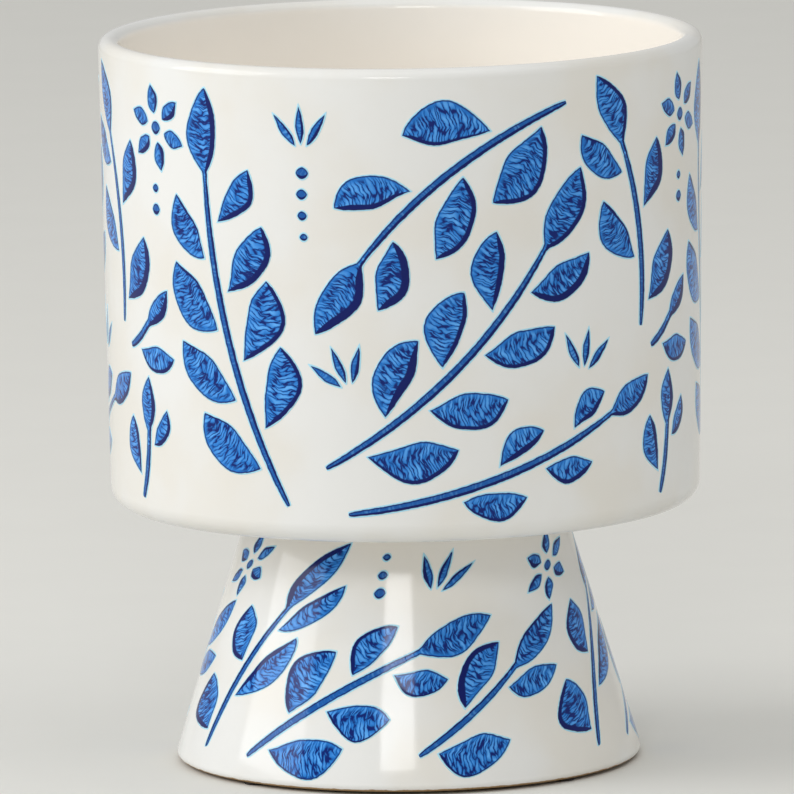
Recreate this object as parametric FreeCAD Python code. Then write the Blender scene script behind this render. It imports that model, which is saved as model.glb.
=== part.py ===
import FreeCAD, Part

import math
import os

# Jardiniere on stand, in millimetres. +Z is up. The origin is on the stand's axis,
# on the surface that the four foot pads rest on.

# ---- Driving dimensions ----

# Jardiniere: a drum that widens a little to the rim
RIM_D = 200.0  # outside, at the top edge
POT_FOOT_D = 195.4  # outside, where the side would meet the underside
POT_H = 156.0  # underside to rim
POT_WALL = 7.0
POT_FLOOR_T = 7.0
POT_FOOT_ROUND = 7.0  # soft lower edge
POT_CORNER_ROUND = 12.0  # inside, between wall and floor

# Stand: a hollow truncated cone, open below
STAND_H = 85.4  # foot ring's underside to the shoulder that the pot sits on
STAND_TOP_D = 103.2  # where the side would meet the shoulder
STAND_FOOT_D = 155.6  # where the side would meet the foot ring's underside
STAND_WALL = 7.0
DECK_T = 7.0
DECK_CORNER_ROUND = 9.0  # inside, between cone and deck
SHOULDER_ROUND = 2.5
FOOT_OUTER_ROUND = 2.0
FOOT_INNER_ROUND = 2.0
FOOT_RING_W = 12.0  # the cone's lower end is thickened inwards to this
FOOT_RING_H = 6.0
FOOT_RING_BLEND_H = 9.0  # height over which the ring thins to the wall

# Register: a low boss on the deck, inside a recess under the pot
SHOULDER_W = 11.6  # from the stand's top edge in to the recess
RECESS_DEPTH = 5.0
RECESS_MOUTH_ROUND = 1.5
RECESS_CORNER_ROUND = 2.0
REGISTER_SIDE_CLEARANCE = 1.0
REGISTER_TOP_CLEARANCE = 0.6
REGISTER_TOP_ROUND = 1.8

# Foot pads: stuck-on discs, evenly spaced under the foot ring
PAD_COUNT = 4
PAD_D = 7.0
PAD_T = 1.0
FIRST_PAD_DEG = 45.0

# Rounds are turned as short bands: none bends the profile by more than the turn,
# and none is much shorter than the length
BAND_TURN = math.radians(24)
BAND_LENGTH = 1.5

# ---- Worked-out places ----

FOOT_Z = PAD_T
SEAT_Z = FOOT_Z + STAND_H
RIM_Z = SEAT_Z + POT_H

RECESS_R = STAND_TOP_D / 2 - SHOULDER_W
REGISTER_R = RECESS_R - REGISTER_SIDE_CLEARANCE
REGISTER_H = RECESS_DEPTH - REGISTER_TOP_CLEARANCE

SHORTEST_EDGE = 1e-4


def round_points(point, last, following, fillet):
    """Points along the arc of a fillet at a corner, tangent to both sides, from last to following.

    The arc takes at most half of the shorter side.
    """
    to_last = last - point
    to_next = following - point
    turn = math.pi - to_last.getAngle(to_next)
    reach = min(fillet * math.tan(turn / 2), to_last.Length / 2, to_next.Length / 2)
    if reach < SHORTEST_EDGE:
        return [point]
    radius = reach / math.tan(turn / 2)
    to_last.normalize()
    to_next.normalize()
    outward = -(to_last + to_next).normalize()
    along = (to_next - to_last).normalize()
    centre = point - outward * math.hypot(radius, reach)
    bands = min(math.ceil(turn / BAND_TURN), max(1, int(radius * turn / BAND_LENGTH)))
    angles = [turn * (i / bands - 0.5) for i in range(bands + 1)]
    return [centre + outward * radius * math.cos(a) + along * radius * math.sin(a) for a in angles]


def turned_solid(corners):
    """Solid of revolution about Z from (radius, height, round) corners that start and end on the axis."""
    points = [FreeCAD.Vector(radius, 0, height) for radius, height, _ in corners]
    outline = []
    for i, (_, _, fillet) in enumerate(corners):
        following = points[(i + 1) % len(points)]
        for point in round_points(points[i], points[i - 1], following, fillet):
            if not outline or point.distanceToPoint(outline[-1]) > SHORTEST_EDGE:
                outline.append(point)
    face = Part.Face(Part.makePolygon(outline + outline[:1]))
    return face.revolve(FreeCAD.Vector(0, 0, 0), FreeCAD.Vector(0, 0, 1), 360)


def make_jardiniere():
    """Pot with an even wall: where the underside steps up over the register, so does the floor."""
    recess_z = SEAT_Z + RECESS_DEPTH
    floor_z = SEAT_Z + POT_FLOOR_T
    step_r = RECESS_R + POT_WALL
    rim_r = RIM_D / 2
    foot_r = POT_FOOT_D / 2
    inner_floor_r = foot_r - POT_WALL + (rim_r - foot_r) * POT_FLOOR_T / POT_H
    rim_round = POT_WALL / 2
    return turned_solid([
        # underside, from the axis out
        (0, recess_z, 0),
        (RECESS_R, recess_z, RECESS_CORNER_ROUND),
        (RECESS_R, SEAT_Z, RECESS_MOUTH_ROUND),
        (foot_r, SEAT_Z, POT_FOOT_ROUND),
        # rim, round all the way over
        (rim_r, RIM_Z, rim_round),
        (rim_r - POT_WALL, RIM_Z, rim_round),
        # inside, back to the axis
        (inner_floor_r, floor_z, POT_CORNER_ROUND),
        (step_r + RECESS_DEPTH, floor_z, 0),
        (step_r, floor_z + RECESS_DEPTH, 0),
        (0, floor_z + RECESS_DEPTH, 0),
    ])


def make_stand():
    """Hollow cone with a deck, the register on it, and a foot ring thickened inwards."""
    top_r = STAND_TOP_D / 2
    foot_r = STAND_FOOT_D / 2
    slope = (foot_r - top_r) / STAND_H
    wall_across = STAND_WALL * math.hypot(1, slope)

    def inner_r(height):
        return foot_r - wall_across - slope * (height - FOOT_Z)

    ring_inner_r = foot_r - FOOT_RING_W
    ring_top_z = FOOT_Z + FOOT_RING_H
    blend_top_z = ring_top_z + FOOT_RING_BLEND_H
    deck_z = SEAT_Z - DECK_T
    step_r = REGISTER_R - STAND_WALL
    return turned_solid([
        # register and shoulder, from the axis out
        (0, SEAT_Z + REGISTER_H, 0),
        (REGISTER_R, SEAT_Z + REGISTER_H, REGISTER_TOP_ROUND),
        (REGISTER_R, SEAT_Z, 0),
        (top_r, SEAT_Z, SHOULDER_ROUND),
        # foot ring
        (foot_r, FOOT_Z, FOOT_OUTER_ROUND),
        (ring_inner_r, FOOT_Z, FOOT_INNER_ROUND),
        (ring_inner_r, ring_top_z, 0),
        (inner_r(blend_top_z), blend_top_z, 0),
        # hollow, back to the axis
        (inner_r(deck_z), deck_z, DECK_CORNER_ROUND),
        (step_r + REGISTER_H, deck_z, 0),
        (step_r, deck_z + REGISTER_H, 0),
        (0, deck_z + REGISTER_H, 0),
    ])


def make_foot_pads():
    """Discs stuck to the middle of the foot ring's flat."""
    foot_r = STAND_FOOT_D / 2
    flat_outer_r = foot_r - FOOT_OUTER_ROUND
    flat_inner_r = foot_r - FOOT_RING_W + FOOT_INNER_ROUND
    ring_r = (flat_outer_r + flat_inner_r) / 2
    pads = []
    for i in range(PAD_COUNT):
        angle = math.radians(FIRST_PAD_DEG + 360 * i / PAD_COUNT)
        place = FreeCAD.Vector(ring_r * math.cos(angle), ring_r * math.sin(angle), 0)
        pads.append(Part.makeCylinder(PAD_D / 2, PAD_T, place))
    return pads


def main():
    os.makedirs("parts", exist_ok=True)
    nodes = {"jardiniere": make_jardiniere(), "stand": make_stand()}
    for number, pad in enumerate(make_foot_pads(), start=1):
        nodes["foot_pad_%d" % number] = pad
    for name, shape in nodes.items():
        shape.exportStep("parts/%s.step" % name)
        print("%-12s valid %s, %d solid, %.0f mm3" % (
            name, shape.isValid(), len(shape.Solids), shape.Volume))


main()
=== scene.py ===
"""Jardiniere on stand: two glazed castings with hand-painted leaves, four foot pads, and the studio."""

from math import ceil, cos, hypot, pi, radians, sin, tan

import bpy
import numpy as np
from bpy.props import FloatProperty, FloatVectorProperty, IntProperty, PointerProperty
from mathutils import Matrix, Vector


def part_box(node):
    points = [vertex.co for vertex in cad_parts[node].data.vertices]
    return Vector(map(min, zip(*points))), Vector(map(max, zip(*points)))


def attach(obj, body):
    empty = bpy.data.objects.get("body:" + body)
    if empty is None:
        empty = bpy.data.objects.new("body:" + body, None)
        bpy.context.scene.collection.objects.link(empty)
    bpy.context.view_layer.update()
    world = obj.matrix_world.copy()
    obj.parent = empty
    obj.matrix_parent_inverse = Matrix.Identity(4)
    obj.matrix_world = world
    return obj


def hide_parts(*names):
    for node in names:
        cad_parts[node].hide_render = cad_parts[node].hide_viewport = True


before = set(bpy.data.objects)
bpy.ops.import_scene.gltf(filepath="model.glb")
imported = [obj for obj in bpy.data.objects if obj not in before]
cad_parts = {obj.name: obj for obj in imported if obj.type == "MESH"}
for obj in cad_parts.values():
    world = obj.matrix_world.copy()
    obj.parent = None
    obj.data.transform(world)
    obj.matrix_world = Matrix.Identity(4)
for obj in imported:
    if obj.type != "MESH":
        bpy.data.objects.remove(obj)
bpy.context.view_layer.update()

bl_info = {
    "name": "Jardiniere on Stand",
    "version": (1, 0, 0),
    "blender": (4, 5, 0),
    "location": "3D View > Sidebar > Planter",
    "description": "Makes the glazed jardiniere and stand, their painted leaves, the foot pads and the studio",
    "category": "Add Mesh",
}

MM = 0.001

# Heights above the table that the skins share with the solids, in mm
FOOT_Z = 1.0  # the foot ring's underside, on the pads
SEAT_Z = 86.4  # the stand's shoulder, where the pot sits

# Small rounds of the two sections, in mm
RECESS_ROUND, RECESS_MOUTH_ROUND, FLOOR_STEP_ROUND = 2.0, 1.5, 4.0
REGISTER_ROUND, REGISTER_ROOT_ROUND, SHOULDER_ROUND = 1.8, 0.8, 2.5
FOOT_RING_ROUND, RING_TOP_ROUND, RING_BLEND_ROUND = 2.0, 2.5, 4.0
DECK_ROUND, DECK_STEP_ROUND = 9.0, 3.0
RING_BLEND_H = 9.0  # height over which the foot ring thins to the wall

# Foot pads
PAD_COUNT = 4
GLUED_EDGE_ROUND = 0.1  # of the pad's upper edge, in mm

# Steps round the axis of each turned skin; 480 keep the jardiniere's under 200,000 triangles
POT_SEGMENTS, STAND_SEGMENTS, PAD_SEGMENTS = 480, 512, 48

# Rings of points along each painted stroke, between its two end points
STEM_RINGS, POT_LEAF_RINGS, STAND_LEAF_RINGS = 56, 22, 26

# Edges of the wiped rings and of the cream glaze, in mm
WIPE_MARGIN = 1.0  # inwards from the edges of the pot's seat, outwards from those of the foot ring
POT_WIPE_H, STAND_WIPE_H, STAND_WIPE_FADE = 0.5, 1.4, 1.2
# The liner glaze is also lighter than the outer white: painted light from above inside the jardiniere.
LINER_LAP, LINER_FADE = 0.5, 0.7  # how far the pot's liner glaze reaches into the rim's round, and its soft edge
FLOOR_SLACK = 0.1  # takes in the floor's own points

# Painted light on the stand's top: a lighter, warmer cream glaze colour stands in for warm light bounced in under the
# pot. Its strength, where it starts and over what height, as shares of SEAT_Z
PAINTED_LIGHT_MOST, PAINTED_LIGHT_FROM, PAINTED_LIGHT_OVER = 0.8, 0.62, 0.36

# Studio: lamps by size in m, azimuth from the front towards +X and elevation in degrees, and distance in m
KEY_PLACE = ((2.2, 2.2), -78, 30, 3.2)
TOP_PLACE = ((2.4, 2.4), 60, 65, 3.2)
WINDOW_PLACE = ((0.86, 0.5), -6.0, 25.5, 3.0)
LAMP_AIM = Vector((0, 0, 0.12))
FLOOR_REACH = 40.0  # half the floor's side, in m
SENSOR_WIDTH = 36.0  # in mm

POT_BODY, STAND_BODY = "jardiniere", "stand"


# ---------------------------------------------------------------- settings


def length(name, description, millimetres):
    """A size property in Blender's length unit, given in mm."""
    return FloatProperty(name=name, description=description, default=millimetres * MM, min=0.0,
                         unit="LENGTH", subtype="DISTANCE", precision=5)


def to_linear(code):
    """sRGB hex such as E6E6E4 as linear red, green and blue: c/12.92 up to 0.04045, else ((c+0.055)/1.055)^2.4."""
    parts = [int(code[i:i + 2], 16) / 255 for i in (0, 2, 4)]
    return tuple(c / 12.92 if c <= 0.04045 else ((c + 0.055) / 1.055) ** 2.4 for c in parts)


def colour(name, description, code):
    """A colour property whose default is an sRGB hex value."""
    return FloatVectorProperty(name=name, description=description, default=to_linear(code), size=3,
                               min=0.0, max=1.0, subtype="COLOR")


class PotSizes(bpy.types.PropertyGroup):
    """Outside and wall sizes of the jardiniere."""

    rim_d: length("Rim diameter", "Outside, at the top edge", 200.0)
    foot_d: length("Foot diameter", "Outside, where the side would meet the underside", 195.4)
    height: length("Height", "Underside to rim", 156.0)
    wall: length("Wall", "Thickness of the side; the rim is round over all of it", 7.0)
    floor: length("Floor", "Thickness of the floor", 7.0)
    foot_round: length("Foot round", "Radius of the soft lower edge", 7.0)
    corner_round: length("Inner round", "Radius between wall and floor, inside", 12.0)
    out_of_round: length("Out of round", "How far drying pulled the side from a true circle", 0.12)


class StandSizes(bpy.types.PropertyGroup):
    """Outside, wall and register sizes of the stand."""

    top_d: length("Top diameter", "Where the side would meet the shoulder", 103.2)
    foot_d: length("Foot diameter", "Where the side would meet the foot ring's underside", 155.6)
    height: length("Height", "Foot ring's underside to shoulder", 85.4)
    wall: length("Wall", "Thickness of the cone and the deck", 7.0)
    ring_w: length("Foot ring width", "Thickness of the cone's lower end", 12.0)
    ring_h: length("Foot ring height", "Height of the thickened lower end", 6.0)
    shoulder_w: length("Shoulder width", "From the top edge in to the recess under the pot", 11.6)
    recess_depth: length("Recess depth", "How far the pot's underside steps up over the register", 5.0)
    side_clearance: length("Side clearance", "Between register and recess, all round", 1.0)
    top_clearance: length("Top clearance", "Between the register's top and the recess", 0.6)


class PadSizes(bpy.types.PropertyGroup):
    """Sizes of the stuck-on foot pads."""

    diameter: length("Diameter", "Of each pad", 7.0)
    thickness: length("Thickness", "Of each pad, with its glue layer", 1.0)
    edge_round: length("Edge round", "Radius of the punched edge", 0.3)


class PaintSettings(bpy.types.PropertyGroup):
    """How the brushwork lies on the castings."""

    repeats: IntProperty(name="Repeats", description="Panels round each casting", default=3, min=1, max=6)
    pot_turn: FloatProperty(name="Turn on the pot", description="Where the first panel starts, from the front",
                            default=radians(-72), subtype="ANGLE", unit="ROTATION")
    stand_turn: FloatProperty(name="Turn on the stand", description="Where the first panel starts, from the front",
                              default=radians(-50), subtype="ANGLE", unit="ROTATION")
    proud: length("Proud", "How far the colour layer stands out of the glaze", 0.09)
    sunk: length("Sunk", "How far its edges and back go into the casting", 0.5)


class GlazeColours(bpy.types.PropertyGroup):
    """Colours of the glaze, clay, cobalt and rubber."""

    glaze: colour("Glaze", "White glaze where it lies thick", "E6E6E4")
    glaze_thin: colour("Thin glaze", "Where the clay warms the white", "E3E0D9")
    # This colour is partly the liner's own cream and partly painted light. Inside the jardiniere it is lighter than
    # the outer white, standing in for light from above. On the stand's top the same colour is painted warm light
    # under the pot.
    cream_liner_and_painted_light: colour("Inside glaze", "Cream liner glaze, inside the jardiniere and where it ran thin", "F9F4EC")
    clay: colour("Clay", "Wiped ring under each casting", "A98A63")
    cobalt: colour("Cobalt", "Middle of a painted leaf", "2176CC")
    cobalt_thin: colour("Thin cobalt", "Where the brush left less colour", "68B4FA")
    cobalt_line: colour("Gathered cobalt", "Veins, and the outline of a leaf on its light side", "021F6C")
    cobalt_deep: colour("Deep cobalt", "Heavy side of a leaf", "00145F")
    cobalt_violet: colour("Violet cobalt", "Outermost part of the heavy side, where it burnt", "180C50")
    bleed: colour("Bleed", "Where the colour ran out into the glaze", "A9DDF2")
    rubber: colour("Rubber", "Foot pads", "2C211B")


class StudioSettings(bpy.types.PropertyGroup):
    """Floor, lamps and camera."""

    floor_colour: colour("Floor", "Painted board", "E6E5E0")
    sky_colour: colour("Sky", "Even light from all sides", "F4F4F2")
    sky_strength: FloatProperty(name="Sky strength", description="Strength of the even light", default=0.6, min=0.0)
    key_power: FloatProperty(name="Key power", description="Large soft lamp at the left, in W", default=55.0,
                             min=0.0, unit="POWER")
    top_power: FloatProperty(name="Top power", description="Large soft lamp high at the right, in W", default=14.0,
                             min=0.0, unit="POWER")
    window_power: FloatProperty(name="Window power", default=13.5, min=0.0, unit="POWER",
                                description="Small lamp over the camera, mirrored in the stand, in W")
    lens: FloatProperty(name="Focal length", description="On a 36 mm sensor", default=614.6, min=1.0,
                        subtype="DISTANCE_CAMERA", unit="CAMERA")
    distance: FloatProperty(name="Distance", description="Camera to the middle of the object", default=4.5, min=0.1,
                            unit="LENGTH")
    elevation: FloatProperty(name="Elevation", description="Camera above the horizon", default=radians(8.48),
                             subtype="ANGLE", unit="ROTATION")
    roll: FloatProperty(name="Roll", description="Turn of the camera about its own axis", default=radians(-0.72),
                        subtype="ANGLE", unit="ROTATION")
    aim_x: FloatProperty(name="Aim across", description="Where the camera looks, along X", default=-2.5 * MM,
                         unit="LENGTH", precision=5)
    aim_z: FloatProperty(name="Aim height", description="Where the camera looks, above the table",
                         default=120.65 * MM, unit="LENGTH", precision=5)


class PlanterSettings(bpy.types.PropertyGroup):
    """All settings of the planter."""

    pot: PointerProperty(type=PotSizes)
    stand: PointerProperty(type=StandSizes)
    pads: PointerProperty(type=PadSizes)
    paint: PointerProperty(type=PaintSettings)
    colours: PointerProperty(type=GlazeColours)
    studio: PointerProperty(type=StudioSettings)


def in_mm(group):
    """The group's lengths as a plain dictionary in mm."""
    return {name: getattr(group, name) / MM for name in group.__annotations__
            if group.bl_rna.properties[name].unit == "LENGTH"}


# ---------------------------------------------------------------- surfaces


def rounded_section(corners, chord=0.45, run=6.0):
    """Section line through corners of (radius, height, round), all in mm.

    A corner gives way to the arc that touches both of its sides: centre + r (o cos a + s sin a), with a from
    minus to plus half the turn, o the outward bisector and s the way on. The arc takes at most half of a side.
    Straight runs are divided evenly into steps no longer than run.
    """
    points = np.array([corner[:2] for corner in corners])
    line = [points[:1]]
    for i, (_, _, radius) in enumerate(corners[1:-1], start=1):
        back, on = points[i - 1] - points[i], points[i + 1] - points[i]
        back_length, on_length = hypot(*back), hypot(*on)
        back, on = back / back_length, on / on_length
        turn = pi - np.arccos(np.clip(back @ on, -1, 1))
        reach = min(radius * tan(turn / 2), back_length / 2, on_length / 2)
        outward = -(back + on) / hypot(*(back + on))
        sideways = (on - back) / hypot(*(on - back))
        radius = reach / tan(turn / 2)
        angles = np.linspace(-turn / 2, turn / 2, max(3, ceil(radius * turn / chord)) + 1)[:, None]
        arc = points[i] - outward * hypot(radius, reach) + radius * (
            outward * np.cos(angles) + sideways * np.sin(angles))
        line += [straight_run(line[-1][-1], arc[0], run), arc]
    line += [straight_run(line[-1][-1], points[-1], run), points[-1:]]
    return np.concatenate(line)


def straight_run(start, end, run):
    """Points strictly between start and end: start + (end - start) k / n."""
    steps = max(1, ceil(hypot(*(end - start)) / run))
    return start + (end - start) * np.arange(1, steps)[:, None] / steps


def drying_pull(angle, height_share, amount):
    """How far drying pulled the side off the circle at angle a, in mm.

    amount (sin(2a + 0.6) + 0.45 sin(3a - 1.1)) times its share of the height: an oval, and a weaker three-sided pull.
    """
    return amount * (np.sin(2 * angle + 0.6) + 0.45 * np.sin(3 * angle - 1.1)) * height_share


def turned_skin(section, segments, pull=0.0, foot=0.0, height=1.0):
    """Closed skin of a section that starts and ends on the axis, turned about Z.

    Point (i, j) = (r_i sin a_j, -r_i cos a_j, z_i), a_j = 2 pi j / segments. The drying pull is added to r_i in
    proportion to r_i and to the height above foot. The two ends are single points, and triangles join them to the
    first and last ring.
    """
    angle = np.arange(segments) * 2 * pi / segments
    r, z = section[1:-1, :1], section[1:-1, 1:]
    share = np.clip((z - foot) / height, 0, 1) * r / section[:, 0].max()
    r = r + drying_pull(angle[None, :], share, pull)
    rings = np.stack([r * np.sin(angle), -r * np.cos(angle), z + 0 * r], axis=-1)
    ends = np.array([[0, 0, section[0, 1]], [0, 0, section[-1, 1]]])
    points = np.concatenate([rings.reshape(-1, 3), ends])
    count = len(section) - 2
    here = np.arange(count * segments).reshape(count, segments)
    aside = np.roll(here, -1, axis=1)
    quads = np.stack([here[:-1], aside[:-1], aside[1:], here[1:]], axis=-1).reshape(-1, 4)
    first, last = len(points) - 2, len(points) - 1
    low = np.stack([np.full(segments, first), aside[0], here[0]], axis=-1)
    high = np.stack([np.full(segments, last), here[-1], aside[-1]], axis=-1)
    return points, quads.tolist() + low.tolist() + high.tolist()


def pot_corners(pot, stand):
    """Jardiniere's section in mm: underside with the recess, wall, full-round rim, and the floor with its step."""
    recess_r = stand["top_d"] / 2 - stand["shoulder_w"]
    recess_z, floor_z, rim_z = SEAT_Z + stand["recess_depth"], SEAT_Z + pot["floor"], SEAT_Z + pot["height"]
    rim_r, foot_r, step_r = pot["rim_d"] / 2, pot["foot_d"] / 2, recess_r + pot["wall"]
    inner_r = foot_r - pot["wall"] + (rim_r - foot_r) * pot["floor"] / pot["height"]
    return [
        (0, recess_z, 0),
        (recess_r, recess_z, RECESS_ROUND),
        (recess_r, SEAT_Z, RECESS_MOUTH_ROUND),
        (foot_r, SEAT_Z, pot["foot_round"]),
        (rim_r, rim_z, pot["wall"] / 2),
        (rim_r - pot["wall"], rim_z, pot["wall"] / 2),
        (inner_r, floor_z, pot["corner_round"]),
        (step_r + stand["recess_depth"], floor_z, FLOOR_STEP_ROUND),
        (step_r, floor_z + stand["recess_depth"], FLOOR_STEP_ROUND),
        (0, floor_z + stand["recess_depth"], 0),
    ]


def stand_corners(stand):
    """Stand's section in mm: register, shoulder, cone, thickened foot ring, and the hollow back up to the deck."""
    top_r, foot_r = stand["top_d"] / 2, stand["foot_d"] / 2
    slope = (foot_r - top_r) / stand["height"]
    across = stand["wall"] * hypot(1, slope)
    register_r = top_r - stand["shoulder_w"] - stand["side_clearance"]
    register_h = stand["recess_depth"] - stand["top_clearance"]
    ring_r, ring_z = foot_r - stand["ring_w"], FOOT_Z + stand["ring_h"]
    blend_z, deck_z = ring_z + RING_BLEND_H, SEAT_Z - stand["wall"]
    step_r = register_r - stand["wall"]
    return [
        (0, SEAT_Z + register_h, 0),
        (register_r, SEAT_Z + register_h, REGISTER_ROUND),
        (register_r, SEAT_Z, REGISTER_ROOT_ROUND),
        (top_r, SEAT_Z, SHOULDER_ROUND),
        (foot_r, FOOT_Z, FOOT_RING_ROUND),
        (ring_r, FOOT_Z, FOOT_RING_ROUND),
        (ring_r, ring_z, RING_TOP_ROUND),
        (foot_r - across - slope * (blend_z - FOOT_Z), blend_z, RING_BLEND_ROUND),
        (foot_r - across - slope * (deck_z - FOOT_Z), deck_z, DECK_ROUND),
        (step_r + register_h, deck_z, DECK_STEP_ROUND),
        (step_r, deck_z + register_h, DECK_STEP_ROUND),
        (0, deck_z + register_h, 0),
    ]


# ---------------------------------------------------------------- brushwork

# A stroke lies in the unrolled wall: p along the girth from the panel's start, h up the wall, both in mm.
# Its centre line starts at (p, h), sets off at a heading, is reach long and turns evenly by bend over that length.
# The leaf at a stem's end starts with a stalk as wide as the stem, which lies over the stem's own end.

STEM_WIDTH, STEM_POINT = 3.6, 0.13  # full width in mm, and the power that keeps it nearly even
LEAF_POINT = 0.8
STEM_POINT_LIMIT = 0.3  # a stroke with a smaller power is a stem
STEM_PROUD = 0.8  # a stem's height as a share of a leaf's, so that leaves lie over it
NECK = 4.0  # how much of a stem's end the last leaf covers, in mm
STALK_REACH = 1.6  # how far along a stroke its stalk's width holds, in necks
HAND_WAVER = 0.07  # how much a leaf's width wavers
END_SUNK = 0.3  # how deep a stroke's two end points lie, as a share of sunk
GOLDEN = 0.618  # steps of this share spread the strokes' seeds evenly

# Which way the heavy sides of the strokes face on the wall, as (p, h)
POT_HEAVY_SIDE, STAND_HEAVY_SIDE = (0.85, -0.53), (-0.95, -0.3)


def centre_line(start, heading, reach, bend, t):
    """Point and heading at t of a line that turns evenly.

    start + reach (sin(a + bend t) - sin a, cos a - cos(a + bend t)) / bend, where a is the heading at the start.
    """
    bend = np.where(np.abs(bend) < 1e-4, 1e-4, bend)
    now = heading + bend * t
    p = start[0] + reach * (np.sin(now) - np.sin(heading)) / bend
    h = start[1] + reach * (np.cos(heading) - np.cos(now)) / bend
    return p, h, now


def stroke(start, heading, reach, bend, width, lean, point, skew=0.0, vein=1.0, stalk=0.0, neck=0.0):
    """One brush stroke, its width given in full.

    skew makes its left half wider than its right. lean over 1 puts the widest place nearer to the tip, and a smaller
    point makes its ends blunter. vein is how strongly its veins show, neck how far along it starts to swell, and
    stalk its half-width up to there.
    """
    return {"p": start[0], "h": start[1], "heading": heading, "reach": reach, "bend": bend,
            "left": width * (1 + skew) / 2, "right": width * (1 - skew) / 2, "lean": lean, "point": point,
            "vein": vein, "stalk": stalk, "neck": neck}


def spray(start, heading, reach, bend, leaves, size, first_side, spread=46.0, gap=3.2, first=0.13, last=0.86,
          broad=0.48):
    """A stem with leaves on alternate sides and one at its end; angles in degrees, sizes in mm.

    Leaf i sits at first + (last - first) i / (leaves - 1) of the stem, gap to one side of its middle, and is up to
    22% smaller towards the end. Small sines of i keep any two from being alike.
    """
    heading, bend = radians(heading), radians(bend)
    strokes = [stroke(start, heading, reach, bend, STEM_WIDTH, lean=1.0, point=STEM_POINT, vein=0.1)]
    for i in range(leaves):
        share = i / max(leaves - 1, 1)
        side = first_side * (-1) ** i
        p, h, now = centre_line(start, heading, reach, bend, first + (last - first) * share)
        size_now = size * (1 - 0.22 * share) * (1 + 0.07 * sin(7.0 * i + reach))
        at = (p - sin(now) * side * gap, h + cos(now) * side * gap)
        opening = radians(spread + 6 * sin(3.1 * i + reach))
        curl = radians(30 + 9 * sin(2.3 * i))
        width = size_now * broad * (1 + 0.06 * cos(5 * i + reach))
        lean = 1.12 + 0.12 * sin(2.9 * i + size)
        strokes.append(stroke(at, now + side * opening, size_now, -side * curl, width, lean=lean,
                              point=LEAF_POINT, skew=0.18 * side))
    share = 1 - NECK / reach
    p, h, now = centre_line(start, heading, reach, bend, share)
    stalk = STEM_WIDTH / 2 * sin(pi * share) ** STEM_POINT
    strokes.append(stroke((p, h), now, NECK + size * 0.95, bend * 0.3, size * (broad - 0.04), lean=0.95,
                          point=LEAF_POINT, skew=0.15 * first_side, stalk=stalk, neck=NECK))
    return strokes


def fan(start, heading, count, size, spread, width=0.26, gap=3.0, vein=0.6):
    """Strokes that spread evenly from one point, each starting gap away from it; width is a share of size."""
    strokes = []
    for i in range(count):
        now = radians(heading + spread * (i - (count - 1) / 2))
        at = (start[0] + gap * cos(now), start[1] + gap * sin(now))
        strokes.append(stroke(at, now, size, 0.0, size * width, lean=0.85, point=0.86, vein=vein))
    return strokes


def berries(start, heading, count, size, step, bend=0.0):
    """A row of dots step apart, which get smaller by up to 40%."""
    strokes = []
    for i in range(count):
        p, h, _ = centre_line(start, radians(heading), step * count, radians(bend), i / count)
        now = size * (1 - 0.4 * i / count)
        strokes.append(stroke((p - now / 2, h), 0.0, now, 0.0, now, lean=1.0, point=0.5, vein=0.0))
    return strokes


def blossom(centre, petals, size, turn=0.0):
    """Plain petals all round a dot."""
    return fan(centre, turn, petals, size, 360 / petals, width=0.62, gap=size * 0.42, vein=0.8) + berries(
        centre, 0, 1, size * 0.5, 1)


def pot_panel():
    """A third of the jardiniere's girth, about 207 by 150 mm: tall sprays, a hanging one, and small ones between."""
    return [
        *spray((84, 12), 118, 112, -26, 8, 31, 1, spread=48),
        *spray((97, 25), 29, 104, 28, 7, 32, -1),
        *spray((182, 143), 198, 88, 34, 5, 31, 1),
        *spray((104, 10), 7, 98, 20, 4, 24, -1, spread=32, first=0.38, last=0.84),
        *spray((213, 66), 82, 62, 30, 4, 28, -1),
        *blossom((32, 133), 6, 10.5, 10),
        *spray((18, 9), 68, 22, 20, 2, 21, 1, first=0.3),
        *spray((12, 59), 20, 14, 30, 1, 19, -1, first=0.4),
        *berries((31, 106), 90, 2, 4.6, 7),
        *fan((92, 128), 92, 3, 14, 34),
        *berries((92, 122), -94, 4, 4.8, 7, 10),
        *fan((186, 52), 80, 3, 14, 34),
        *fan((106, 50), 112, 3, 14, 34),
    ]


def stand_panel():
    """A third of the stand's girth, about 136 by 84 mm up the slant: three low sprays, and small things above."""
    full_leaved = {"gap": 3.0, "broad": 0.53}
    return [
        *spray((6, 9), 42, 65, -14, 5, 27, -1, **full_leaved),
        *spray((140, 9), 106, 50, -24, 4, 26, 1, **full_leaved),
        *spray((68, 12), 38, 38, 16, 3, 25, -1, **full_leaved),
        *blossom((104, 71), 6, 8.5, 12),
        *fan((60, 64), 80, 3, 14, 34),
        *berries((42, 66), 96, 3, 4.4, 6, -10),
    ]


# Across a stroke: eleven points over the top, from its right edge to its left, and two under it. ACROSS is in
# half-widths, PROUD in heights of the colour layer, and SUNK in depths of its back
ACROSS = np.array([-1, -0.98, -0.92, -0.7, -0.36, 0, 0.36, 0.7, 0.92, 0.98, 1, 0.5, -0.5])
PROUD = np.array([0, 0.62, 0.88, 0.97, 1, 1, 1, 0.97, 0.88, 0.62, 0, 0, 0])
SUNK = np.array([1, 0, 0, 0, 0, 0, 0, 0, 0, 0, 1, 1.4, 1.4])
MIDDLE = 5  # the place in ACROSS of the centre line


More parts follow.
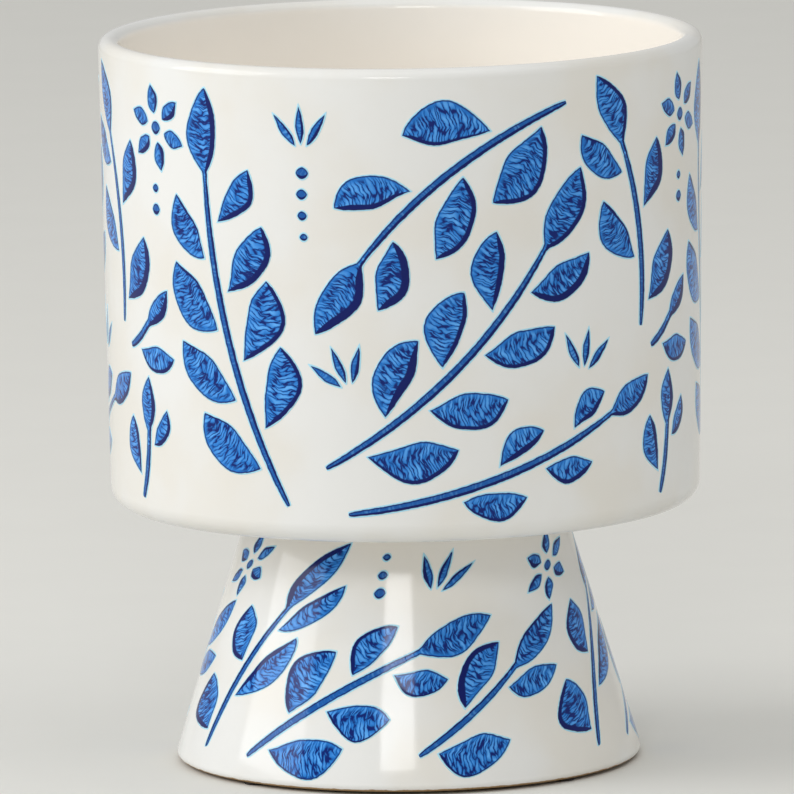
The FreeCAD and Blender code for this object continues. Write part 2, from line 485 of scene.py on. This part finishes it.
def half_widths(column, t):
    """Half-width at t on each side: that side's width times sin(pi s^lean)^point, s being the share past the neck.

    A leaf's is times 1 + HAND_WAVER sin(9t + a phase), and near a stalk none is narrower than the stalk.
    """
    along = t * column["reach"]
    past_neck = np.clip((along - column["neck"]) / (column["reach"] - column["neck"]), 0, 1)
    swell = np.clip(np.sin(pi * past_neck ** column["lean"]), 0, 1) ** column["point"]
    phase = column["reach"] + 2.0 * np.sign(ACROSS)
    hand = 1 + HAND_WAVER * np.sin(9.0 * t + phase) * (column["vein"] > 0.5)
    stalk = column["stalk"] * (along < STALK_REACH * column["neck"])
    return np.maximum(np.where(ACROSS > 0, column["left"], column["right"]) * swell * hand, stalk)


def stroke_faces(rings):
    """Faces of one stroke: quads between its rings, and triangles to its two end points, which come last."""
    around = len(ACROSS)
    here = np.arange(rings * around).reshape(rings, around)
    aside = np.roll(here, -1, axis=1)
    quads = np.stack([here[:-1], here[1:], aside[1:], aside[:-1]], axis=-1).reshape(-1, 4)
    first, last = rings * around, rings * around + 1
    starts = np.stack([np.full(around, first), here[0], aside[0]], axis=-1)
    ends = np.stack([np.full(around, last), aside[-1], here[-1]], axis=-1)
    return quads, starts, ends


def stroke_skins(strokes, rings, turns, wall, paint, heavy_side):
    """Closed skins of many strokes at once, laid on a wall, with the values that their colour needs.

    A stroke's point is its centre line at t = (1 - cos(pi u)) / 2, u running evenly from 0 to 1, plus the line's
    left normal times ACROSS times the half-width on that side, and it is lifted by proud PROUD - sunk SUNK from the
    wall. On the wall, p becomes the angle a = turn + p / r(h), and the point is (r sin a, -r cos a, z), with r and z
    from the wall's straight slant, and r with the drying pull.

    brush holds the way along the stroke, the way across it and the depth from its rim, all in mm. The depth is
    (half - |across|) / sqrt(1 + slope^2), slope being that of the half-width along the stroke. look holds how heavy
    that side is, the stroke's seed and its veins.
    """
    column = {name: np.array([one[name] for one in strokes])[:, None, None] for name in strokes[0]}
    t = ((1 - np.cos(pi * np.arange(rings + 2) / (rings + 1))) / 2)[None, :, None]
    p, h, now = centre_line((column["p"], column["h"]), column["heading"], column["reach"], column["bend"], t)
    half = half_widths(column, t)
    across = ACROSS * half
    slope = np.gradient(half, axis=1) / np.gradient(column["reach"] * t, axis=1)
    depth = (half - np.abs(across)) / np.hypot(1, slope)
    p, h = p - np.sin(now) * across, h + np.cos(now) * across
    proud = paint["proud"] * np.where(column["point"] < STEM_POINT_LIMIT, STEM_PROUD, 1.0)
    lift = proud * PROUD - paint["sunk"] * SUNK + 0 * p
    lift[:, [0, -1]] = -END_SUNK * paint["sunk"]

    # colour that the brush held, from 0.56 to 1, laid on the side that faces heavy_side
    load = 0.78 + 0.22 * np.sin(2.3 * column["reach"] + column["p"])
    heavy = load * np.sign(ACROSS) * (heavy_side[1] * np.cos(now) - heavy_side[0] * np.sin(now))

    foot_r, foot_z, slant, top_r, height = wall
    tilt = np.arcsin((foot_r - top_r) / slant)
    straight_r = foot_r - h * np.sin(tilt)
    z = foot_z + h * np.cos(tilt) + lift * np.sin(tilt)
    angle = np.array(turns)[:, None, None, None] + (p / straight_r)[None]
    share = np.clip((z - foot_z) / height, 0, 1)
    r = straight_r + lift * np.cos(tilt) + drying_pull(angle, share, paint["pull"])
    points = np.stack([r * np.sin(angle), -r * np.cos(angle), z + 0 * r], axis=-1)

    seed = np.arange(len(turns) * len(strokes)).reshape(len(turns), -1, 1, 1) * GOLDEN % 1 + 0 * r
    brush = np.stack(np.broadcast_arrays(t * column["reach"] + 0 * r, across, depth), axis=-1)
    look = np.stack(np.broadcast_arrays(heavy + 0 * r, seed, column["vein"]), axis=-1)

    def with_single_ends(values):
        """The inner rings' values, and one for each end, stroke by stroke."""
        values = values.reshape(-1, rings + 2, len(ACROSS), 3)
        inner = values[:, 1:-1].reshape(len(values), -1, 3)
        return np.concatenate([inner, values[:, 0, [MIDDLE]], values[:, -1, [MIDDLE]]], axis=1)

    points, brush, look = with_single_ends(points), with_single_ends(brush), with_single_ends(look)
    offset = (np.arange(len(points)) * points.shape[1])[:, None, None]
    faces = []
    for block in stroke_faces(rings):
        faces += (block + offset).reshape(-1, block.shape[-1]).tolist()
    return points.reshape(-1, 3), faces, {"brush": brush.reshape(-1, 3), "look": look.reshape(-1, 3)}


# ---------------------------------------------------------------- materials


def add_node(tree, kind, settings=None, inputs=None):
    """Add one shader node: settings are its own properties, inputs its sockets by name or number, linked or set."""
    node = tree.nodes.new(kind)
    for name, value in (settings or {}).items():
        setattr(node, name, value)
    for name, value in (inputs or {}).items():
        if isinstance(value, bpy.types.NodeSocket):
            tree.links.new(value, node.inputs[name])
        else:
            node.inputs[name].default_value = value
    return node


# Settings that many nodes share
SMOOTH = {"interpolation_type": "SMOOTHSTEP"}
COLOURS = {"data_type": "RGBA"}
TIMES_PLUS = {"operation": "MULTIPLY_ADD"}


def new_material(name):
    """A material with an empty node tree."""
    material = bpy.data.materials.new(name)
    material.use_nodes = True
    material.node_tree.nodes.clear()
    return material, material.node_tree


def per_metre(millimetres):
    """Scale on Object coordinates, which are in metres, of a pattern whose features are about this size."""
    return 1000 / millimetres


def four(rgb):
    """Colour with full alpha."""
    return (*rgb, 1.0)


def glaze_surface(tree, base, roughness, mirror=0.3):
    """Clear glossy glaze: ripples about 26 mm long where it ran, and an orange-peel skin of 2.4 mm, as relief.

    mirror is how strongly it reflects. Over dark paint it is lower, so that the colour stays deep.
    """
    place = add_node(tree, "ShaderNodeTexCoord").outputs["Object"]
    ripple = add_node(tree, "ShaderNodeTexNoise", inputs={"Vector": place, "Scale": per_metre(26), "Detail": 1.0})
    peel = add_node(tree, "ShaderNodeTexNoise", inputs={"Vector": place, "Scale": per_metre(2.4), "Detail": 2.0})
    slow = add_node(tree, "ShaderNodeBump", inputs={
        "Height": ripple.outputs["Fac"], "Distance": 0.22 * MM, "Strength": 1.0})
    fine = add_node(tree, "ShaderNodeBump", inputs={
        "Height": peel.outputs["Fac"], "Distance": 0.006 * MM, "Strength": 1.0, "Normal": slow.outputs["Normal"]})
    shader = add_node(tree, "ShaderNodeBsdfPrincipled", inputs={
        "Base Color": base, "Roughness": roughness, "IOR": 1.5, "Specular IOR Level": mirror,
        "Normal": fine.outputs["Normal"]})
    add_node(tree, "ShaderNodeOutputMaterial", inputs={"Surface": shader.outputs["BSDF"]})


def white_glaze(colours):
    """White tin glaze, poured over a slip-cast buff body and fired.

    It is glossy, a little warm where thin, and wiped off the rings that the castings rest on, where the clay shows
    matt. The liner glaze is creamier, and lighter as painted light from above; the stand's top takes the same colour
    as painted warm light under the pot.
    """
    material, tree = new_material("white_glaze_on_buff_clay")
    place = add_node(tree, "ShaderNodeTexCoord").outputs["Object"]

    # coat: thin and warm in clouds about 45 mm wide, and cream inside, where it is also lighter as painted light; on
    # the stand's top the cream is painted warm light
    cloud = add_node(tree, "ShaderNodeTexNoise", inputs={"Vector": place, "Scale": per_metre(45), "Detail": 3.0})
    thin = add_node(tree, "ShaderNodeMapRange", SMOOTH, {
        "Value": cloud.outputs["Fac"], "From Min": 0.38, "From Max": 0.68})
    coat = add_node(tree, "ShaderNodeMix", COLOURS, {
        "Factor": thin.outputs["Result"], "A": four(colours.glaze), "B": four(colours.glaze_thin)})
    # inside: share of the cream liner colour, which is painted light from above in the jardiniere and painted warm
    # light on the stand's top
    inside = add_node(tree, "ShaderNodeAttribute", {"attribute_name": "inside"}).outputs["Fac"]
    lined = add_node(tree, "ShaderNodeMix", COLOURS, {
        "Factor": inside, "A": coat.outputs["Result"], "B": four(colours.cream_liner_and_painted_light)})

    # bare clay: sandy by the millimetre, with a wiped edge that is ragged over a few
    grain = add_node(tree, "ShaderNodeTexNoise", inputs={"Vector": place, "Scale": per_metre(0.9), "Detail": 3.0})
    dark_clay = tuple(0.72 * c for c in colours.clay)
    clay = add_node(tree, "ShaderNodeMix", COLOURS, {
        "Factor": grain.outputs["Fac"], "A": four(dark_clay), "B": four(colours.clay)})
    wiped = add_node(tree, "ShaderNodeAttribute", {"attribute_name": "bare"}).outputs["Fac"]
    ragged = add_node(tree, "ShaderNodeTexNoise", inputs={"Vector": place, "Scale": per_metre(3.5), "Detail": 4.0})
    edge = add_node(tree, "ShaderNodeMath", TIMES_PLUS, {
        0: ragged.outputs["Fac"], 1: 0.8, 2: wiped}).outputs[0]
    bare = add_node(tree, "ShaderNodeMapRange", SMOOTH, {
        "Value": edge, "From Min": 0.8, "From Max": 0.95}).outputs["Result"]
    base = add_node(tree, "ShaderNodeMix", COLOURS, {
        "Factor": bare, "A": lined.outputs["Result"], "B": clay.outputs["Result"]})

    # gloss: a little less where the glaze is thin, and none on the clay
    polish = add_node(tree, "ShaderNodeMapRange", inputs={
        "Value": cloud.outputs["Fac"], "To Min": 0.07, "To Max": 0.13})
    roughness = add_node(tree, "ShaderNodeMix", {"data_type": "FLOAT"}, {
        "Factor": bare, "A": polish.outputs["Result"], "B": 0.85})
    glaze_surface(tree, base.outputs["Result"], roughness.outputs["Result"])
    return material


def painted_cobalt(colours):
    """Cobalt brushed on by hand under a clear glaze.

    Each stroke has a pale bleed at its rim, a dark line where the colour gathered, one heavy side, and wavy veins
    combed through the middle blue.
    """
    material, tree = new_material("brushed_cobalt_under_clear_glaze")
    place = add_node(tree, "ShaderNodeTexCoord").outputs["Object"]
    brush = add_node(tree, "ShaderNodeSeparateXYZ", inputs={0: add_node(
        tree, "ShaderNodeAttribute", {"attribute_name": "brush"}).outputs["Vector"]})
    look = add_node(tree, "ShaderNodeSeparateXYZ", inputs={0: add_node(
        tree, "ShaderNodeAttribute", {"attribute_name": "look"}).outputs["Vector"]})
    along, across, even_depth = brush.outputs
    heavy, seed, vein = look.outputs
    off_centre = add_node(tree, "ShaderNodeMath", {"operation": "ABSOLUTE"}, {0: across}).outputs[0]

    # hand: the rim wavers by a quarter of a millimetre either way
    rim_waver = 0.5
    waver = add_node(tree, "ShaderNodeTexNoise", inputs={"Vector": place, "Scale": per_metre(2.2), "Detail": 2.0})
    wavered = add_node(tree, "ShaderNodeMath", TIMES_PLUS, {
        0: waver.outputs["Fac"], 1: rim_waver, 2: even_depth}).outputs[0]
    depth = add_node(tree, "ShaderNodeMath", {"operation": "SUBTRACT"}, {0: wavered, 1: rim_waver / 2}).outputs[0]

    # veins: edges of flat cells that slant forward from the middle, waver, branch and run out before the light
    # side's rim. The gap between them and their run are in mm; the step, in cells, gives each stroke its own
    vein_gap, vein_run, seed_step = 1.2, 6.5, 37.0
    bend = add_node(tree, "ShaderNodeTexNoise", inputs={"Vector": place, "Scale": per_metre(3.4), "Detail": 2.0})
    slant = add_node(tree, "ShaderNodeMath", TIMES_PLUS, {
        0: off_centre, 1: -0.3, 2: along}).outputs[0]
    waved = add_node(tree, "ShaderNodeMath", TIMES_PLUS, {
        0: bend.outputs["Fac"], 1: 2.2, 2: slant}).outputs[0]
    cell_place = add_node(tree, "ShaderNodeCombineXYZ", inputs={0: waved, 1: across, 2: seed}).outputs[0]
    cell_size = add_node(tree, "ShaderNodeVectorMath", {"operation": "MULTIPLY"}, {
        0: cell_place, 1: (1 / vein_gap, 1 / vein_run, seed_step)}).outputs[0]
    cells = add_node(tree, "ShaderNodeTexVoronoi", {"feature": "DISTANCE_TO_EDGE"}, {
        "Vector": cell_size, "Scale": 1.0})
    gaps = add_node(tree, "ShaderNodeTexNoise", inputs={"Vector": place, "Scale": per_metre(2.0), "Detail": 2.0})
    thickness = add_node(tree, "ShaderNodeMapRange", inputs={
        "Value": gaps.outputs["Fac"], "From Min": 0.3, "From Max": 0.7, "To Min": -0.04, "To Max": 0.09}).outputs[0]
    off_line = add_node(tree, "ShaderNodeMath", {"operation": "SUBTRACT"}, {
        0: cells.outputs["Distance"], 1: thickness}).outputs[0]
    line = add_node(tree, "ShaderNodeMapRange", SMOOTH, {
        "Value": off_line, "From Min": 0.0, "From Max": 0.11, "To Min": 1.0, "To Max": 0.0})
    heavy_now = add_node(tree, "ShaderNodeMath", {"operation": "MAXIMUM"}, {0: heavy, 1: 0.0}).outputs[0]
    from_light_rim = add_node(tree, "ShaderNodeMath", TIMES_PLUS, {
        0: heavy_now, 1: 12.0, 2: depth}).outputs[0]
    combed = add_node(tree, "ShaderNodeMapRange", SMOOTH, {
        "Value": from_light_rim, "From Min": 0.9, "From Max": 2.9, "To Max": vein}).outputs["Result"]
    line_shown = add_node(tree, "ShaderNodeMath", {"operation": "MULTIPLY"}, {
        0: line.outputs["Result"], 1: combed}).outputs[0]

    # middle blue: thinnest inside the cells, and deeper in stems and dots, which took one loaded stroke each
    thin = add_node(tree, "ShaderNodeMapRange", SMOOTH, {
        "Value": cells.outputs["Distance"], "From Min": 0.05, "From Max": 0.42})
    wash = add_node(tree, "ShaderNodeTexNoise", inputs={"Vector": place, "Scale": per_metre(7), "Detail": 3.0})
    washed = add_node(tree, "ShaderNodeMath", {"operation": "MULTIPLY"}, {
        0: thin.outputs["Result"], 1: wash.outputs["Fac"]}).outputs[0]
    thinned = add_node(tree, "ShaderNodeMapRange", inputs={
        "Value": washed, "From Min": 0.0, "From Max": 0.75}).outputs[0]
    fill = add_node(tree, "ShaderNodeMix", COLOURS, {
        "Factor": thinned, "A": four(colours.cobalt), "B": four(colours.cobalt_thin)})
    loaded = add_node(tree, "ShaderNodeMapRange", inputs={"Value": vein, "To Min": 0.5, "To Max": 0.0}).outputs[0]
    body = add_node(tree, "ShaderNodeMix", COLOURS, {
        "Factor": loaded, "A": fill.outputs["Result"], "B": four(colours.cobalt_line)})
    veined = add_node(tree, "ShaderNodeMix", COLOURS, {
        "Factor": line_shown, "A": body.outputs["Result"], "B": four(colours.cobalt_line)})

    # rim: a gathered line all round, and a heavy side about 3 mm wide that burnt to violet outermost
    heavy_w = 2.9
    gathered = add_node(tree, "ShaderNodeMapRange", SMOOTH, {
        "Value": depth, "From Min": 0.7, "From Max": 1.25, "To Min": 0.95, "To Max": 0.0})
    lined = add_node(tree, "ShaderNodeMix", COLOURS, {
        "Factor": gathered.outputs["Result"], "A": veined.outputs["Result"], "B": four(colours.cobalt_line)})
    shade_depth = add_node(tree, "ShaderNodeMath", TIMES_PLUS, {
        0: heavy_now, 1: -heavy_w, 2: depth}).outputs[0]
    shade = add_node(tree, "ShaderNodeMapRange", SMOOTH, {
        "Value": shade_depth, "From Min": 0.15, "From Max": 0.65, "To Min": 1.0, "To Max": 0.0})
    shaded = add_node(tree, "ShaderNodeMix", COLOURS, {
        "Factor": shade.outputs["Result"], "A": lined.outputs["Result"], "B": four(colours.cobalt_deep)})
    burn = add_node(tree, "ShaderNodeMapRange", SMOOTH, {
        "Value": depth, "From Min": 0.5, "From Max": 1.1, "To Min": 1.0, "To Max": 0.0})
    burnt = add_node(tree, "ShaderNodeMath", {"operation": "MULTIPLY"}, {
        0: burn.outputs["Result"], 1: heavy_now}).outputs[0]
    rimmed = add_node(tree, "ShaderNodeMix", COLOURS, {
        "Factor": burnt, "A": shaded.outputs["Result"], "B": four(colours.cobalt_violet)})
    bleed = add_node(tree, "ShaderNodeMapRange", SMOOTH, {
        "Value": depth, "From Min": 0.34, "From Max": 0.58, "To Min": 1.0, "To Max": 0.0})
    base = add_node(tree, "ShaderNodeMix", COLOURS, {
        "Factor": bleed.outputs["Result"], "A": rimmed.outputs["Result"], "B": four(colours.bleed)})
    glaze_surface(tree, base.outputs["Result"], roughness=0.1, mirror=0.2)
    return material


def foot_rubber(colours):
    """Punched foam-rubber pad: dark brown, matt, with fine cells."""
    material, tree = new_material("punched_foam_rubber")
    place = add_node(tree, "ShaderNodeTexCoord").outputs["Object"]
    cells = add_node(tree, "ShaderNodeTexVoronoi", inputs={"Vector": place, "Scale": per_metre(0.5)})
    tint = add_node(tree, "ShaderNodeMix", COLOURS, {
        "Factor": cells.outputs["Distance"], "A": four(colours.rubber),
        "B": four([0.5 * c for c in colours.rubber])})
    relief = add_node(tree, "ShaderNodeBump", inputs={
        "Height": cells.outputs["Distance"], "Distance": 0.05 * MM, "Strength": 0.6})
    shader = add_node(tree, "ShaderNodeBsdfPrincipled", inputs={
        "Base Color": tint.outputs["Result"], "Roughness": 0.8, "Normal": relief.outputs["Normal"]})
    add_node(tree, "ShaderNodeOutputMaterial", inputs={"Surface": shader.outputs["BSDF"]})
    return material


def floor_board(studio):
    """Matt painted board, with the faintest clouding in its colour.

    A roller's stipple of about 1 mm is too fine to show, so the clouding is 40 mm wide.
    """
    material, tree = new_material("matt_painted_board")
    place = add_node(tree, "ShaderNodeTexCoord").outputs["Object"]
    roller = add_node(tree, "ShaderNodeTexNoise", inputs={"Vector": place, "Scale": per_metre(40), "Detail": 4.0})
    tint = add_node(tree, "ShaderNodeMix", COLOURS, {
        "Factor": roller.outputs["Fac"], "A": four([0.97 * c for c in studio.floor_colour]),
        "B": four(studio.floor_colour)})
    shader = add_node(tree, "ShaderNodeBsdfPrincipled", inputs={
        "Base Color": tint.outputs["Result"], "Roughness": 0.7, "Specular IOR Level": 0.2})
    add_node(tree, "ShaderNodeOutputMaterial", inputs={"Surface": shader.outputs["BSDF"]})
    return material


MADE = {}


def shared_material(make, colours):
    """The material that make returns, made once for all pieces and kept in MADE."""
    name = make.__name__
    if name not in MADE:
        MADE[name] = make(colours)
    return MADE[name]


# ---------------------------------------------------------------- pieces


def add_piece(name, points, faces, material, attributes=None):
    """Mesh object from points in mm, at the origin, smooth, with point attributes for its material."""
    mesh = bpy.data.meshes.new(name)
    mesh.from_pydata(points * MM, [], faces)
    for key, values in (attributes or {}).items():
        flat = values.ndim == 1
        layer = mesh.attributes.new(key, "FLOAT" if flat else "FLOAT_VECTOR", "POINT")
        layer.data.foreach_set("value" if flat else "vector", np.ascontiguousarray(values, np.float32).ravel())
    mesh.shade_smooth()
    mesh.materials.append(material)
    piece = bpy.data.objects.new(name, mesh)
    bpy.context.scene.collection.objects.link(piece)
    return piece


def bare_ring(points, inner_r, outer_r, low_z, fade=0.5):
    """1 where the glaze was wiped off: between the two radii and below a height, fading over a short way."""
    r, z = np.hypot(points[:, 0], points[:, 1]), points[:, 2]
    ring = np.clip((r - inner_r) / fade, 0, 1) * np.clip((outer_r - r) / fade, 0, 1)
    return ring * np.clip((low_z - z) / fade, 0, 1)


def wall_of(foot_r, top_r, foot_z, height):
    """A casting's straight side as foot radius, foot height, slant, top radius and height."""
    return foot_r, foot_z, hypot(foot_r - top_r, height), top_r, height


def lay_strokes(name, strokes, rings, turn, settings, wall, pull, heavy_side, body):
    """Paint all repeats of some strokes as one piece on a body."""
    paint = {**in_mm(settings.paint), "pull": pull}
    turns = [turn + 2 * pi * i / settings.paint.repeats for i in range(settings.paint.repeats)]
    points, faces, values = stroke_skins(strokes, rings, turns, wall, paint, heavy_side)
    piece = add_piece(name, points, faces, shared_material(painted_cobalt, settings.colours), values)
    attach(piece, body)


def stems_and_leaves(strokes):
    """The strokes of even width, and all others."""
    return ([one for one in strokes if one["point"] < STEM_POINT_LIMIT],
            [one for one in strokes if one["point"] >= STEM_POINT_LIMIT])


class PLANTER_OT_make_jardiniere(bpy.types.Operator):
    """Make the slip-cast jardiniere: drum, full-round rim, stepped floor and the recess under it"""

    bl_idname = "planter.make_jardiniere"
    bl_label = "Make jardiniere"

    def execute(self, context):
        settings = context.scene.planter
        pot, stand = in_mm(settings.pot), in_mm(settings.stand)
        section = rounded_section(pot_corners(pot, stand))
        points, faces = turned_skin(section, POT_SEGMENTS, pot["out_of_round"], SEAT_Z, pot["height"])
        seat_r = stand["top_d"] / 2
        recess_r = seat_r - stand["shoulder_w"]
        liner_r = pot["rim_d"] / 2 - pot["wall"]
        r, z = np.hypot(points[:, 0], points[:, 1]), points[:, 2]
        above_floor = z > SEAT_Z + pot["floor"] - FLOOR_SLACK
        values = {
            "bare": bare_ring(points, recess_r + WIPE_MARGIN, seat_r - WIPE_MARGIN, SEAT_Z + POT_WIPE_H),
            # inside: the cream liner, partly painted light from above
            "inside": np.clip((liner_r + LINER_LAP - r) / LINER_FADE, 0, 1) * above_floor,
        }
        piece = add_piece("glazed_jardiniere", points, faces, shared_material(white_glaze, settings.colours), values)
        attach(piece, POT_BODY)
        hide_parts("jardiniere")
        return {"FINISHED"}


class PLANTER_OT_make_stand(bpy.types.Operator):
    """Make the slip-cast hollow stand: register, shoulder, cone and wiped foot ring"""

    bl_idname = "planter.make_stand"
    bl_label = "Make stand"

    def execute(self, context):
        settings = context.scene.planter
        stand = in_mm(settings.stand)
        points, faces = turned_skin(rounded_section(stand_corners(stand)), STAND_SEGMENTS)
        foot_r, z = stand["foot_d"] / 2, points[:, 2]
        values = {
            "bare": bare_ring(points, foot_r - stand["ring_w"] - WIPE_MARGIN, foot_r + WIPE_MARGIN,
                              FOOT_Z + STAND_WIPE_H, STAND_WIPE_FADE),
            # inside on the stand: painted warm light, a lighter cream towards the top, under the pot
            "inside": PAINTED_LIGHT_MOST * np.clip((z - PAINTED_LIGHT_FROM * SEAT_Z) / (PAINTED_LIGHT_OVER * SEAT_Z), 0, 1),
        }
        piece = add_piece("glazed_stand", points, faces, shared_material(white_glaze, settings.colours), values)
        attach(piece, STAND_BODY)
        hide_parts("stand")
        return {"FINISHED"}


class PLANTER_OT_paint_jardiniere(bpy.types.Operator):
    """Paint the leaf sprays round the jardiniere"""

    bl_idname = "planter.paint_jardiniere"
    bl_label = "Paint jardiniere"

    def execute(self, context):
        settings = context.scene.planter
        pot = in_mm(settings.pot)
        wall = wall_of(pot["foot_d"] / 2, pot["rim_d"] / 2, SEAT_Z, pot["height"])
        stems, leaves = stems_and_leaves(pot_panel())
        for name, strokes, rings in (("jardiniere_stems", stems, STEM_RINGS),
                                     ("jardiniere_leaves", leaves, POT_LEAF_RINGS)):
            lay_strokes(name, strokes, rings, settings.paint.pot_turn, settings, wall, pot["out_of_round"],
                        POT_HEAVY_SIDE, POT_BODY)
        return {"FINISHED"}


class PLANTER_OT_paint_stand(bpy.types.Operator):
    """Paint the leaf sprays round the stand"""

    bl_idname = "planter.paint_stand"
    bl_label = "Paint stand"

    def execute(self, context):
        settings = context.scene.planter
        stand = in_mm(settings.stand)
        wall = wall_of(stand["foot_d"] / 2, stand["top_d"] / 2, FOOT_Z, stand["height"])
        stems, leaves = stems_and_leaves(stand_panel())
        for name, strokes, rings in (("stand_stems", stems, STEM_RINGS),
                                     ("stand_leaves", leaves, STAND_LEAF_RINGS)):
            lay_strokes(name, strokes, rings, settings.paint.stand_turn, settings, wall, 0.0,
                        STAND_HEAVY_SIDE, STAND_BODY)
        return {"FINISHED"}


class PLANTER_OT_make_foot_pads(bpy.types.Operator):
    """Make the four punched rubber pads under the foot ring"""

    bl_idname = "planter.make_foot_pads"
    bl_label = "Make foot pads"

    def execute(self, context):
        settings = context.scene.planter
        pads = in_mm(settings.pads)
        r, top = pads["diameter"] / 2, pads["thickness"]
        corners = [(0, 0, 0), (r, 0, pads["edge_round"]), (r, top, GLUED_EDGE_ROUND), (0, top, 0)]
        points, faces = turned_skin(rounded_section(corners, chord=0.12, run=1.0), PAD_SEGMENTS)
        for number in range(1, PAD_COUNT + 1):
            node = "foot_pad_%d" % number
            low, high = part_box(node)
            middle = (low + high) / 2 / MM
            piece = add_piece("rubber_" + node, points + np.array([middle.x, middle.y, 0.0]), faces,
                              shared_material(foot_rubber, settings.colours))
            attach(piece, STAND_BODY)
            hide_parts(node)
        return {"FINISHED"}


def add_lamp(name, power, size, azimuth, elevation, distance):
    """Rectangular area lamp that faces LAMP_AIM, from a place given as for KEY_PLACE."""
    lamp = bpy.data.lights.new(name, "AREA")
    lamp.shape = "RECTANGLE"
    lamp.size, lamp.size_y = size
    lamp.energy = power
    a, e = radians(azimuth), radians(elevation)
    back = Vector((sin(a) * cos(e), -cos(a) * cos(e), sin(e)))
    holder = bpy.data.objects.new(name, lamp)
    holder.location = LAMP_AIM + back * distance
    holder.rotation_euler = back.to_track_quat("Z", "Y").to_euler()
    bpy.context.scene.collection.objects.link(holder)


class PLANTER_OT_set_studio(bpy.types.Operator):
    """Set the pale floor, the lamps, the even sky and the camera"""

    bl_idname = "planter.set_studio"
    bl_label = "Set studio"

    def execute(self, context):
        scene, studio = context.scene, context.scene.planter.studio
        corners = [(x * FLOOR_REACH, y * FLOOR_REACH, 0) for x, y in ((-1, -1), (1, -1), (1, 1), (-1, 1))]
        mesh = bpy.data.meshes.new("floor")
        mesh.from_pydata(corners, [], [(0, 1, 2, 3)])
        mesh.materials.append(floor_board(studio))
        floor = bpy.data.objects.new("floor", mesh)
        scene.collection.objects.link(floor)

        add_lamp("key_lamp", studio.key_power, *KEY_PLACE)
        add_lamp("top_lamp", studio.top_power, *TOP_PLACE)
        add_lamp("window_lamp", studio.window_power, *WINDOW_PLACE)

        world = bpy.data.worlds.new("even_sky")
        world.use_nodes = True
        world.node_tree.nodes.clear()
        sky = add_node(world.node_tree, "ShaderNodeBackground", inputs={
            "Color": four(studio.sky_colour), "Strength": studio.sky_strength})
        add_node(world.node_tree, "ShaderNodeOutputWorld", inputs={"Surface": sky.outputs["Background"]})
        scene.world = world

        lens = bpy.data.cameras.new("camera")
        lens.lens, lens.sensor_width = studio.lens, SENSOR_WIDTH
        lens.clip_start, lens.clip_end = 0.1, 100.0
        camera = bpy.data.objects.new("camera", lens)
        aim = Vector((studio.aim_x, 0.0, studio.aim_z))
        back = Vector((0.0, -cos(studio.elevation), sin(studio.elevation)))
        upright = Matrix.Rotation(pi / 2 - studio.elevation, 4, "X")
        camera.matrix_world = (Matrix.Translation(aim + back * studio.distance) @ upright
                               @ Matrix.Rotation(studio.roll, 4, "Z"))
        scene.collection.objects.link(camera)
        scene.camera = camera
        scene.view_settings.view_transform = "Standard"
        return {"FINISHED"}


OPERATORS = (
    PLANTER_OT_set_studio,
    PLANTER_OT_make_jardiniere,
    PLANTER_OT_make_stand,
    PLANTER_OT_paint_jardiniere,
    PLANTER_OT_paint_stand,
    PLANTER_OT_make_foot_pads,
)


class PLANTER_PT_sidebar(bpy.types.Panel):
    """Buttons for the stage and each piece, in the order they are made, and all settings"""

    bl_label = "Jardiniere on Stand"
    bl_space_type = "VIEW_3D"
    bl_region_type = "UI"
    bl_category = "Planter"

    def draw(self, context):
        for operator in OPERATORS:
            self.layout.operator(operator.bl_idname)
        planter = context.scene.planter
        for part in planter.__annotations__:
            group, box = getattr(planter, part), self.layout.box()
            box.label(text=part.capitalize())
            for name in group.__annotations__:
                box.prop(group, name)


CLASSES = (PotSizes, StandSizes, PadSizes, PaintSettings, GlazeColours, StudioSettings, PlanterSettings,
           *OPERATORS, PLANTER_PT_sidebar)


def register():
    for cls in CLASSES:
        bpy.utils.register_class(cls)
    bpy.types.Scene.planter = PointerProperty(type=PlanterSettings)


def unregister():
    del bpy.types.Scene.planter
    for cls in reversed(CLASSES):
        bpy.utils.unregister_class(cls)


def main():
    """Register, then set the studio and make every piece."""
    register()
    bpy.ops.planter.set_studio()
    bpy.ops.planter.make_jardiniere()
    bpy.ops.planter.make_stand()
    bpy.ops.planter.paint_jardiniere()
    bpy.ops.planter.paint_stand()
    bpy.ops.planter.make_foot_pads()


if __name__ == "__main__":
    main()
